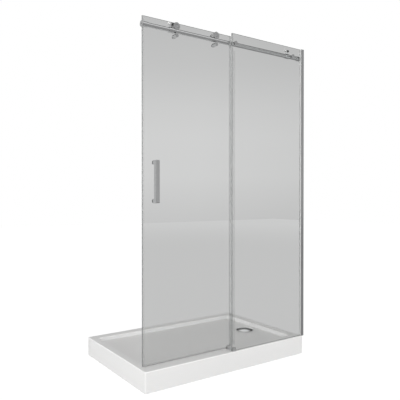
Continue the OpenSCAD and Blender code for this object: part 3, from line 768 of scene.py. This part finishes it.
def ring_of_ribs(
    name: str, sizes: Sizes, turn: Euler, material: bpy.types.Material
) -> TreeSheet:
    """Returns a tree that puts a ring of ribs round each point.

    Args:
        name: The tree's name.
        sizes: Count, Radius, Length, Width and Height.
        turn: How the ring is turned from lying flat.
        material: The ribs' material.

    Returns:
        The tree.
    """
    tree = TreeSheet(name, sizes)
    ring = tree.node("GeometryNodeMeshCircle", {}, {"Vertices": "Count", "Radius": "Radius"})
    box_size = tree.node("ShaderNodeCombineXYZ", {}, {0: "Height", 1: "Width", 2: "Length"})
    rib = tree.node("GeometryNodeMeshCube", {}, {"Size": box_size.outputs[0]})
    index = tree.node("GeometryNodeInputIndex")
    step = tree.node("ShaderNodeMath", {"operation": "DIVIDE"}, {0: index.outputs[0], 1: "Count"})
    angle = tree.node("ShaderNodeMath", {"operation": "MULTIPLY"}, {0: step.outputs[0], 1: math.tau})
    spin = tree.node("ShaderNodeCombineXYZ", {}, {2: angle.outputs[0]})
    placed = tree.scatter(ring.outputs[0], rib.outputs[0], spin.outputs[0])
    turned = tree.node("GeometryNodeTransform", {}, {"Geometry": placed, "Rotation": turn})
    tree.finish(tree.scatter(tree.group.outputs[0], turned.outputs[0]), material)
    return tree


def stack_of_threads(name: str, sizes: Sizes, material: bpy.types.Material) -> TreeSheet:
    """Returns a tree that stacks thread turns above each point.

    Args:
        name: The tree's name.
        sizes: Count, Pitch, Radius, Depth, Sides and Crest Sides.
        material: The thread's material.

    Returns:
        The tree.
    """
    tree = TreeSheet(name, sizes)
    rise = tree.node("ShaderNodeCombineXYZ", {}, {2: "Pitch"})
    inputs = {"Count": "Count", "Offset": rise.outputs[0]}
    line = tree.node("GeometryNodeMeshLine", {"mode": "OFFSET"}, inputs)
    inputs = {"Resolution": "Sides", "Radius": "Radius"}
    loop = tree.node("GeometryNodeCurvePrimitiveCircle", {}, inputs)
    inputs = {"Resolution": "Crest Sides", "Radius": "Depth"}
    crest = tree.node("GeometryNodeCurvePrimitiveCircle", {}, inputs)
    inputs = {"Curve": loop.outputs[0], "Profile Curve": crest.outputs[0]}
    turn = tree.node("GeometryNodeCurveToMesh", {}, inputs)
    placed = tree.scatter(line.outputs[0], turn.outputs[0])
    tree.finish(tree.scatter(tree.group.outputs[0], placed), material)
    return tree


# Sub-assemblies


@dataclass
class Tray(SubAssembly):
    """The moulded tray with its support and its feet.

    Attributes:
        lip_width: The rounding's width on the edge between rim and basin.
        lip_segments: The faces that make it.
        lip_depth: How far under the rim that edge is looked for.
        basin_clear: How far inside the tray's sides it is looked for.
        painted_highlight_reach: How far the painted highlight, a paler acrylic, reaches in from the
            tray's sides.
        painted_highlight_slope: The upward parts of the normals between which a face gets that painted
            highlight.
        stud_radius: The radius of a leg's stud.
        thread_pitch: The rise of a thread turn.
        thread_depth: The radius of a turn's crest.
        thread_sides: The sides of a turn.
        crest_sides: The sides of its crest.
        pad_radius: The radius of a foot pad.
        pad_ribs: The grip ribs round a pad.
        rib_sink: How far a rib's middle lies inside the pad's radius.
        rib_length: A rib's length, up the pad.
        rib_width: Its width, round the pad.
        rib_height: Its height, away from the pad.
    """

    lip_width: float = 0.0013
    lip_segments: int = 4
    lip_depth: float = 0.001
    basin_clear: float = 0.03
    painted_highlight_reach: float = 0.006
    painted_highlight_slope: tuple[float, float] = (0.2, 0.98)
    stud_radius: float = 0.005
    thread_pitch: float = 0.0015
    thread_depth: float = 0.0004
    thread_sides: int = 24
    crest_sides: int = 6
    pad_radius: float = 0.022
    pad_ribs: int = 24
    rib_sink: float = 0.0009
    rib_length: float = 0.0034
    rib_width: float = 0.0022
    rib_height: float = 0.0016

    def build(self) -> None:
        """Builds the shell, the support and the feet."""
        self._shell()
        self.dress("base_board", "frame_runners", "frame_crossbars")
        self.dress("leg_studs", "leg_nuts", "leg_pads")
        self._threads()
        self._grip()
        self.report()

    def _shell(self) -> None:
        """Rounds the lip of the basin and paints a highlight on the rim's rounded outer edge in a paler
        acrylic.
        """
        low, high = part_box("tray_shell")
        clear = self.basin_clear

        def on_basin_lip(spot: Vector) -> bool:
            """Returns whether a spot lies on the edge between rim and basin."""
            inside = low.x + clear < spot.x < high.x - clear and low.y + clear < spot.y < high.y - clear
            return inside and spot.z > high.z - self.lip_depth and not self._near_guide(spot)

        lip = Rounding(self.lip_width, self.lip_segments, where=on_basin_lip)
        shell = self.refine("tray_shell", lip)
        # The rim's rounded outer edge gets a paler acrylic, a painted highlight
        shell.data.materials.append(self.shelf.get(Finish.ACRYLIC_PAINTED_HIGHLIGHT))
        flattest, steepest = self.painted_highlight_slope
        for face in shell.data.polygons:
            spot = face.center
            near_side = min(spot.x - low.x, high.x - spot.x, spot.y - low.y, high.y - spot.y)
            if near_side < self.painted_highlight_reach and flattest < face.normal.z < steepest:
                face.material_index = 1

    @staticmethod
    def _near_guide(spot: Vector) -> bool:
        """Returns whether a spot lies under the floor guide, where the screw holes are."""
        low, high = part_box("floor_guide")
        return low.x < spot.x < high.x and low.y < spot.y < high.y

    def _leg_centres(self) -> list[tuple[float, float]]:
        """Returns the plan positions of the six legs.

        Returns:
            The x and y of each, column by column from the left.
        """
        low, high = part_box("leg_studs")
        radius = self.stud_radius
        columns = (low.x + radius, (low.x + high.x) / 2, high.x - radius)
        return [(x, y) for x in columns for y in (low.y + radius, high.y - radius)]

    def _threads(self) -> None:
        """Adds the thread turns of the studs, between the pads and the nuts."""
        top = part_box("leg_nuts")[0].z
        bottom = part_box("leg_pads")[1].z
        # A turn's room stays free at both ends
        turns = int((top - bottom) / self.thread_pitch) - 2
        sizes = {
            "Count": turns,
            "Pitch": self.thread_pitch,
            "Radius": self.stud_radius,
            "Depth": self.thread_depth,
            "Sides": self.thread_sides,
            "Crest Sides": self.crest_sides,
        }
        tree = stack_of_threads("leg_thread", sizes, self.shelf.get(Finish.GALVANISED))
        start = bottom + self.thread_pitch
        mesh = tree.grow((x, y, start) for x, y in self._leg_centres())
        self.add("leg_threads", mesh, "enclosure", "galvanised_steel")

    def _grip(self) -> None:
        """Adds the grip ribs round the foot pads, a quarter of the way up."""
        low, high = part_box("leg_pads")
        sizes = {
            "Count": self.pad_ribs,
            "Radius": self.pad_radius - self.rib_sink,
            "Length": self.rib_length,
            "Width": self.rib_width,
            "Height": self.rib_height,
        }
        tree = ring_of_ribs("pad_grip", sizes, Euler((0, 0, 0)), self.shelf.get(Finish.BLACK_RUBBER))
        mesh = tree.grow((x, y, (high.z - low.z) / 4) for x, y in self._leg_centres())
        self.add("pad_ribs", mesh, "enclosure", "rubber_black")


@dataclass
class Drain(SubAssembly):
    """The domed cover, its ring and the bowl under the tray.

    Attributes:
        cover_edge: The rounding of the cover.
        ring_edge: The rounding of the ring.
        moulded_edge: The rounding of the bowl and the nut.
        nut_ribs: The grip ribs round the nut.
        rib_sink: How far a rib's middle lies inside the nut's radius.
        rib_clear: How much shorter than the nut a rib is.
        rib_width: A rib's width, round the nut.
        rib_height: Its height, away from the nut.
    """

    cover_edge: Rounding = Rounding(0.0005)
    ring_edge: Rounding = Rounding(0.0006, segments=3)
    moulded_edge: Rounding = Rounding(0.0008)
    nut_ribs: int = 28
    rib_sink: float = 0.0004
    rib_clear: float = 0.003
    rib_width: float = 0.002
    rib_height: float = 0.0016

    def build(self) -> None:
        """Builds the drain."""
        self.refine("drain_cover", self.cover_edge)
        self.refine("drain_ring", self.ring_edge)
        self.refine("hair_cup", UNROUNDED)
        self.refine("drain_body", self.moulded_edge)
        self.refine("outlet_nut", self.moulded_edge)
        self.dress("drain_gasket")
        self._grip()
        self.report()

    def _grip(self) -> None:
        """Adds the grip ribs round the nut on the outlet, whose axis runs along Y."""
        low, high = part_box("outlet_nut")
        sizes = {
            "Count": self.nut_ribs,
            "Radius": (high.x - low.x) / 2 - self.rib_sink,
            "Length": high.y - low.y - self.rib_clear,
            "Width": self.rib_width,
            "Height": self.rib_height,
        }
        turn = Euler((math.pi / 2, 0, 0))
        tree = ring_of_ribs("nut_grip", sizes, turn, self.shelf.get(Finish.GREY_PLASTIC))
        self.add("outlet_nut_ribs", tree.grow([(low + high) / 2]), "enclosure", "plastic_grey")


@dataclass
class GlassWork(SubAssembly):
    """The two panes with their polished edges and clear seals.

    Attributes:
        arris: The rounding of the panes.
        seal_edge: The rounding of the seals.
        clear_from: The part of the normal across the pane from which a face is clear.
        underside_from: The upward part of the normal under which a face is clear too.
    """

    arris: Rounding = Rounding(0.0007)
    seal_edge: Rounding = Rounding(0.0003)
    clear_from: float = 0.98
    underside_from: float = -0.5

    def build(self) -> None:
        """Builds the panes and seals."""
        for node in ("fixed_glass", "door_glass"):
            self._pane(node)
        for node in ("fixed_panel_seal", "fin_seal"):
            self.refine(node, self.seal_edge, Finish.DENSE_VINYL)
        for node in ("strike_seal", "bottom_wiper"):
            self.refine(node, self.seal_edge)
        self.dress("setting_strip")
        self.dress("glazing_gaskets", finish=Finish.MILKY_VINYL)
        self.report()

    def _pane(self, node: str) -> None:
        """Builds a pane, clear through its large faces and its underside, dark at its other edges.

        Args:
            node: The pane's node.
        """
        pane = self.refine(node, self.arris)
        pane.data.materials.append(self.shelf.get(Finish.PANE_EDGE))
        for face in pane.data.polygons:
            clear = abs(face.normal.y) > self.clear_from or face.normal.z < self.underside_from
            face.material_index = 0 if clear else 1


@dataclass
class WallSide(SubAssembly):
    """The upright profile that holds the fixed pane."""

    profile_edge: Rounding = Rounding(0.0006, angle=60.0)
    cap_edge: Rounding = Rounding(0.0003)

    def build(self) -> None:
        """Builds the profile and its cap."""
        self.refine("wall_profile", self.profile_edge)
        self.refine("profile_cap", self.cap_edge)
        self.report()


@dataclass
class RailSet(SubAssembly):
    """The rail with its cups, brackets and stops."""

    rail_edge: Rounding = Rounding(0.0004, angle=60.0)
    turned_edge: Rounding = Rounding(0.0008, segments=3)
    bracket_edge: Rounding = Rounding(0.0003)
    stop_edge: Rounding = Rounding(0.0006)

    def build(self) -> None:
        """Builds the rail set."""
        self.refine("rail", self.rail_edge)
        turned = ("rail_bush_left", "rail_bush_right", "bracket_caps", "stop_end_caps", "stop_buffers")
        for node in turned:
            self.refine(node, self.turned_edge)
        self.refine("rail_brackets", self.bracket_edge)
        self.refine("stop_brackets", self.stop_edge)
        self.dress("grub_screws", "bracket_bolts", "bracket_washers")
        self.report()


@dataclass
class FloorGuide(SubAssembly):
    """The guide that keeps the door's bottom edge in line."""

    guide_edge: Rounding = Rounding(0.0006, segments=3)
    small_edge: Rounding = Rounding(0.0003)

    def build(self) -> None:
        """Builds the guide."""
        self.refine("floor_guide", self.guide_edge, Finish.SATIN_CHROME)
        self.refine("guide_pads", self.small_edge)
        self.refine("guide_screws", self.small_edge)
        self.report()


@dataclass
class DoorFittings(SubAssembly):
    """The handle and the fittings through the door's pane."""

    handle_edge: Rounding = Rounding(0.0006, segments=3)
    turned_edge: Rounding = Rounding(0.001, segments=3)
    post_edge: Rounding = Rounding(0.0005)
    axle_edge: Rounding = Rounding(0.0004)

    def build(self) -> None:
        """Builds the handle, the axles and the lift guards."""
        self.refine("handle", self.handle_edge)
        for node in ("handle_knobs", "roller_nuts", "guard_nuts", "guard_pins"):
            self.refine(node, self.turned_edge)
        self.refine("guard_posts", self.post_edge)
        self.refine("roller_axles", self.axle_edge)
        self.dress("handle_gaskets", "handle_bolts", "roller_gaskets", "guard_gaskets")
        self.report()


@dataclass
class Roller(SubAssembly):
    """One grooved roller with its side discs and cap."""

    side: str = "left"
    disc_edge: Rounding = Rounding(0.0013, segments=4)
    cap_edge: Rounding = Rounding(0.0005)

    def build(self) -> None:
        """Builds the roller."""
        self.refine("roller_tyre_" + self.side, UNROUNDED, Finish.GREY_NYLON)
        self.refine("roller_discs_" + self.side, self.disc_edge)
        self.refine("roller_cap_" + self.side, self.cap_edge)
        self.dress("roller_bearing_" + self.side)
        self.report()


# Studio


@dataclass(frozen=True)
class Card:
    """A soft card in the surroundings, bright or dark, that metal and gloss reflect.

    Attributes:
        towards: The direction of its middle.
        core: How far from there it has its full level, in degrees.
        edge: How far from there it ends, in degrees.
        level: What it adds to the surroundings.
    """

    towards: tuple[float, float, float]
    core: float
    edge: float
    level: float

    def glow(self, sheet: ShaderSheet, ray: Value) -> Value:
        """Returns what the card adds to the surroundings.

        Args:
            sheet: The world's sheet.
            ray: The direction that is looked at.

        Returns:
            The card's level where it fills the view, and 0 outside its edge.
        """
        aim = sheet.node(
            "ShaderNodeVectorMath",
            {"operation": "DOT_PRODUCT"},
            {0: ray, 1: Vector(self.towards).normalized()},
            output="Value",
        )
        span = (math.cos(math.radians(self.edge)), math.cos(math.radians(self.core)))
        return sheet.fade(aim, span, (0.0, self.level))


CARDS = (
    Card((0.52, -0.63, 0.57), 5, 18, 0.85),
    Card((-0.58, -0.75, 0.31), 9, 20, 1.0),
    Card((-0.5, 0.87, 0.0), 12, 40, 0.22),
    Card((0.5, 0.62, 0.6), 2, 14, 0.85),
    Card((0.62, 0.74, 0.25), 12, 32, -0.22),
    Card((0.1, 0.2, 0.95), 10, 24, 1.6),
)


@dataclass
class Camera:
    """The camera, where the photograph was taken.

    Attributes:
        place: Where it stands, in metres.
        yaw: How far it looks to the right of straight back, in degrees.
        pitch: How far it looks up, in degrees.
        lens: Its focal length, in millimetres.
        sensor: Its sensor's width, in millimetres.
        reach: How far it sees, in metres.
    """

    place: tuple[float, float, float] = (-1.8428, -2.6833, 1.0594)
    yaw: float = 34.91
    pitch: float = -0.47
    lens: float = 43.67
    sensor: float = 36.0
    reach: float = 100.0

    def build(self) -> None:
        """Builds the camera and makes it the scene's."""
        data = bpy.data.cameras.new("camera")
        data.lens = self.lens
        data.sensor_width = self.sensor
        data.clip_end = self.reach
        camera = bpy.data.objects.new("camera", data)
        camera.location = self.place
        camera.rotation_euler = (math.radians(90 + self.pitch), 0.0, math.radians(-self.yaw))
        bpy.context.scene.collection.objects.link(camera)
        bpy.context.scene.camera = camera


def level_by_ray(
    sheet: ShaderSheet,
    outs: bpy.types.NodeOutputs,
    kind: str,
    other: Value | float,
    level: Value | float,
) -> Value:
    """Returns one level for a kind of ray and another for the rest.

    Args:
        sheet: The sheet to write into.
        outs: The Light Path node's outputs.
        kind: The output that names the kind of ray.
        other: The level for the other rays.
        level: The level for that kind.

    Returns:
        The level.
    """
    return sheet.mix(Value(sheet, outs[kind]), other, level)


@dataclass
class Surroundings:
    """The world: white to the camera, and soft greys to the light, the metal and the glass.

    Attributes:
        sky: The level of the soft light from above.
        horizon_band: What the band at the horizon adds to it.
        band_fade: The height of a direction where that band begins and where it is full.
        mirrored: The level that metal and gloss reflect, from straight down to straight up.
        through: The level that shows through the glass, in the same way.
        middle: The direction of the view's middle, in degrees to the right of straight back.
        right_loss: The share that the level through the glass loses to the right of it.
    """

    sky: float = 0.632
    horizon_band: float = 2.35
    band_fade: tuple[float, float] = (0.3, 0.1)
    mirrored: Stops = ((0.0, 0.3), (0.5, 0.45), (0.62, 0.4), (0.75, 0.25))
    through: Stops = (
        (0.475, 0.66),
        (0.52, 0.74),
        (0.56, 0.745),
        (0.59, 0.713),
        (0.63, 0.64),
        (0.66, 0.61),
    )
    middle: float = Camera.yaw
    right_loss: float = 0.25

    def build(self) -> None:
        """Builds the world."""
        world = bpy.data.worlds.new("studio")
        world.use_nodes = True
        bpy.context.scene.world = world
        sheet = ShaderSheet(world.node_tree)
        ray = sheet.node("ShaderNodeTexCoord", output="Generated")
        parts = sheet.node("ShaderNodeSeparateXYZ", {}, {0: ray})
        across, along, up = (Value(sheet, parts.socket.node.outputs[i]) for i in range(3))
        # From 0 straight down to 1 straight up, for the ramps
        height = up * 0.5 + 0.5
        mirrored = sheet.node("ShaderNodeValToRGB", {"stops": self.mirrored}, {0: height})
        for card in CARDS:
            mirrored = mirrored + card.glow(sheet, ray)
        through = sheet.node("ShaderNodeValToRGB", {"stops": self.through}, {0: height})
        middle = math.radians(self.middle)
        right = across * math.cos(middle) - along * math.sin(middle)
        through = through * (1.0 - right.maximum(0.0) * self.right_loss)
        soft = sheet.fade(up, self.band_fade, (self.sky, self.sky + self.horizon_band))
        outs = sheet.light_path()
        level = level_by_ray(sheet, outs, "Is Camera Ray", soft, 1.0)
        level = level_by_ray(sheet, outs, "Is Glossy Ray", level, mirrored)
        # Glass that is seen in a reflection shows what metal reflects
        reflected = Value(sheet, outs["Glossy Depth"]).minimum(1.0)
        behind_glass = sheet.mix(reflected, through, mirrored)
        level = level_by_ray(sheet, outs, "Is Transmission Ray", level, behind_glass)
        shader = sheet.node("ShaderNodeBackground", {}, {"Color": level, "Strength": 1.0})
        sheet.surface(shader, "ShaderNodeOutputWorld")


@dataclass
class Floor:
    """The plain floor: white to the camera, grey through the glass and clear from below.

    Attributes:
        half_width: Half its side, in metres.
        drop: How far it lies under the feet, in metres.
        glow: The level that lights the pieces from below.
        seen: The level that the camera sees, where no shadow falls.
        mirrored: The level that metal and gloss reflect.
        through: The level through the glass, close by and far away.
        fade: The distances from the middle between which that level changes, in metres.
        cover: How pale its surface is under the lamp, where the shadow falls.
    """

    half_width: float = 14.0
    drop: float = 0.0004
    glow: float = 0.5
    seen: float = 0.93
    mirrored: float = 0.22
    through: tuple[float, float] = (0.53, 0.6)
    fade: tuple[float, float] = (6.0, 16.0)
    cover: float = 0.14

    def build(self) -> None:
        """Lays the floor, as a part of the stage."""
        form = bmesh.new()
        bmesh.ops.create_grid(form, x_segments=1, y_segments=1, size=self.half_width)
        mesh = bpy.data.meshes.new("floor")
        form.to_mesh(mesh)
        form.free()
        floor = bpy.data.objects.new("floor", mesh)
        floor.location.z = -self.drop
        bpy.context.scene.collection.objects.link(floor)
        floor.data.materials.append(self._material())

    def _material(self) -> bpy.types.Material:
        """Returns the floor's material.

        Returns:
            A material that glows by the kind of ray and is clear on its underside.
        """
        material = bpy.data.materials.new("floor")
        material.use_nodes = True
        sheet = ShaderSheet(material.node_tree)
        outs = sheet.light_path()
        level = level_by_ray(sheet, outs, "Is Camera Ray", self.glow, self.seen)
        level = level_by_ray(sheet, outs, "Is Glossy Ray", level, self.mirrored)
        place = sheet.node("ShaderNodeTexCoord", output="Object")
        away = sheet.node("ShaderNodeVectorMath", {"operation": "LENGTH"}, {0: place}, output="Value")
        depth = sheet.fade(away, self.fade, self.through)
        level = level_by_ray(sheet, outs, "Is Transmission Ray", level, depth)
        shine = sheet.node("ShaderNodeEmission", {}, {"Color": level, "Strength": 1.0})
        cover = sheet.node("ShaderNodeBsdfDiffuse", {}, {"Color": grey(self.cover)})
        lit = sheet.node("ShaderNodeAddShader", {}, {0: shine, 1: cover})
        clear = sheet.node("ShaderNodeBsdfTransparent")
        from_below = sheet.node("ShaderNodeNewGeometry", output="Backfacing")
        sheet.surface(sheet.node("ShaderNodeMixShader", {}, {0: from_below, 1: lit, 2: clear}))
        return material


@dataclass
class KeyLight:
    """The soft square lamp on the camera's side: watts, metres and degrees.

    Attributes:
        power: Its power.
        size: Its side.
        tilt: How far it is tilted up from looking straight down.
        turn: How far it is turned to the left from looking straight back.
        distance: How far it hangs from the point that it looks at.
        aim_height: The height of that point above the middle of the floor.
    """

    power: float = 100.0
    size: float = 4.0
    tilt: float = 76.0
    turn: float = -54.0
    distance: float = 6.0
    aim_height: float = 0.3

    def build(self) -> None:
        """Hangs the lamp, turned towards a point above the middle of the floor."""
        data = bpy.data.lights.new("key", "AREA")
        data.energy = self.power
        data.shape = "SQUARE"
        data.size = self.size
        lamp = bpy.data.objects.new("key", data)
        facing = Euler((math.radians(self.tilt), 0.0, math.radians(self.turn)))
        lamp.rotation_euler = facing
        back = Vector((0.0, 0.0, self.distance))
        back.rotate(facing)
        lamp.location = back + Vector((0.0, 0.0, self.aim_height))
        lamp.visible_camera = False
        lamp.visible_glossy = False
        bpy.context.scene.collection.objects.link(lamp)


def main() -> None:
    """Builds the enclosure and its studio."""
    logging.basicConfig(level=logging.INFO, format="%(name)s %(message)s")
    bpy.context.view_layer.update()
    shelf = FinishShelf()
    for item in (Camera, Surroundings, Floor, KeyLight):
        item().build()
    bpy.context.scene.view_settings.view_transform = "Standard"
    for part in (Tray, Drain, GlassWork, WallSide, RailSet, FloorGuide, DoorFittings):
        part(shelf).build()
    for side in ("left", "right"):
        Roller(shelf, side=side).build()


if __name__ == "__main__":
    main()
